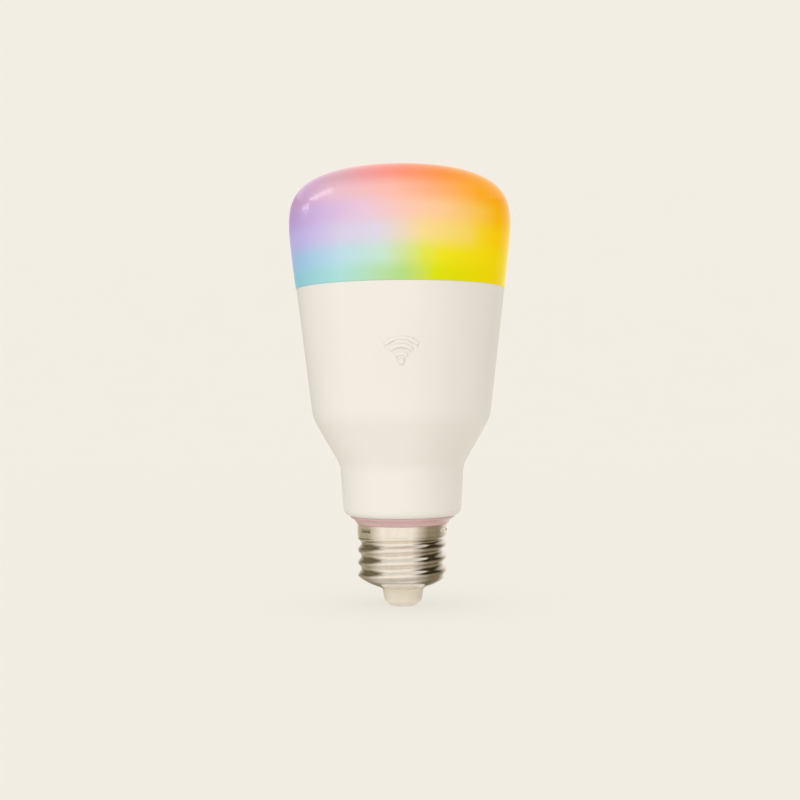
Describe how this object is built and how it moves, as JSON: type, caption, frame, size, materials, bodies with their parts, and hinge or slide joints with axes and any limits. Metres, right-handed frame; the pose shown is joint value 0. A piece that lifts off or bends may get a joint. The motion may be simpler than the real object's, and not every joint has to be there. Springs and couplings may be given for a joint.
{
  "type": "smart light bulb",
  "caption": "Screw-base smart light bulb: a rounded milky colour diffuser on a tapered white housing, with LEDs, a radio board and a driver inside and a threaded nickel cap below.",
  "frame": {"origin": "centre of the flat end face of the bulb's centre contact", "axes": "+Z along the bulb's axis from the cap to the crown of the diffuser, -Y the bulb's front, +X to its right seen from the front"},
  "size_m": [0.064, 0.064, 0.1255],
  "materials": {
    "diffuser_plastic": "milky polycarbonate, lit from inside by colour LEDs",
    "sealant": "white silicone",
    "housing_plastic": "satin warm white",
    "collar_plastic": "dusty pink, semi-gloss",
    "aluminium": "bare pressed sheet",
    "thermal_pad": "grey filled silicone",
    "nickel_plate": "nickel-plated brass",
    "solder": "tin solder",
    "insulator_plastic": "cream moulding",
    "led_board_enamel": "white solder mask on an aluminium core",
    "steel": "zinc-plated screw",
    "led_package": "white LED frame",
    "warm_phosphor": "orange silicone with phosphor",
    "cool_phosphor": "yellow silicone with phosphor",
    "clear_epoxy": "clear fill",
    "white_nylon": "moulded connector",
    "black_nylon": "moulded header or chip",
    "gold_pin": "gold-flashed pin",
    "radio_board": "dark blue solder mask",
    "driver_board": "green solder mask",
    "copper": "enamelled or bare copper",
    "tin_shield": "tinned steel can",
    "sleeve_film": "shrink sleeve",
    "bung_rubber": "black seal",
    "ferrite": "sintered ferrite",
    "bobbin_plastic": "phenolic bobbin",
    "winding_tape": "yellow polyester tape over copper",
    "film_case": "moulded case",
    "varistor_epoxy": "dipped epoxy",
    "resistor_paint": "flameproof paint on ceramic",
    "smd_black": "thick film resistor",
    "smd_tan": "ceramic capacitor",
    "tinned": "tinned lead",
    "wire_insulation": "red PVC"
  },
  "bodies": {
    "root": {"diffuser": "diffuser_plastic", "diffuser_sealant": "sealant", "housing": "housing_plastic", "heat_spreader": "aluminium", "thermal_pad": "thermal_pad", "collar_ring": "collar_plastic", "screw_shell": "nickel_plate", "cap_insulator": "insulator_plastic", "centre_contact": "nickel_plate", "led_board": "led_board_enamel", "led_board_screws": "steel", "white_led_packages": "led_package", "warm_led_phosphors": "warm_phosphor", "cool_led_phosphors": "cool_phosphor", "rgb_led_packages": "led_package", "rgb_led_lenses": "clear_epoxy", "led_socket": "white_nylon", "led_header": "black_nylon", "led_header_pins": "gold_pin", "radio_board": "radio_board", "radio_chip": "black_nylon", "radio_shield": "tin_shield", "radio_antenna": "copper", "radio_header": "black_nylon", "radio_pins": "gold_pin", "driver_board": "driver_board", "capacitor_cans": "aluminium", "capacitor_sleeves": "sleeve_film", "capacitor_bungs": "bung_rubber", "transformer_core": "ferrite", "transformer_bobbin": "bobbin_plastic", "transformer_winding": "winding_tape", "choke_cores": "ferrite", "choke_windings": "copper", "film_capacitor": "film_case", "varistor": "varistor_epoxy", "fuse_resistor": "resistor_paint", "bridge_rectifier": "black_nylon", "control_chips": "black_nylon", "chip_leads": "tinned", "diodes": "black_nylon", "smd_resistors": "smd_black", "smd_capacitors": "smd_tan", "smd_terminals": "tinned", "component_leads": "tinned", "solder_joints": "solder", "live_lead": "wire_insulation", "neutral_lead": "tinned"}
  },
  "joints": []
}
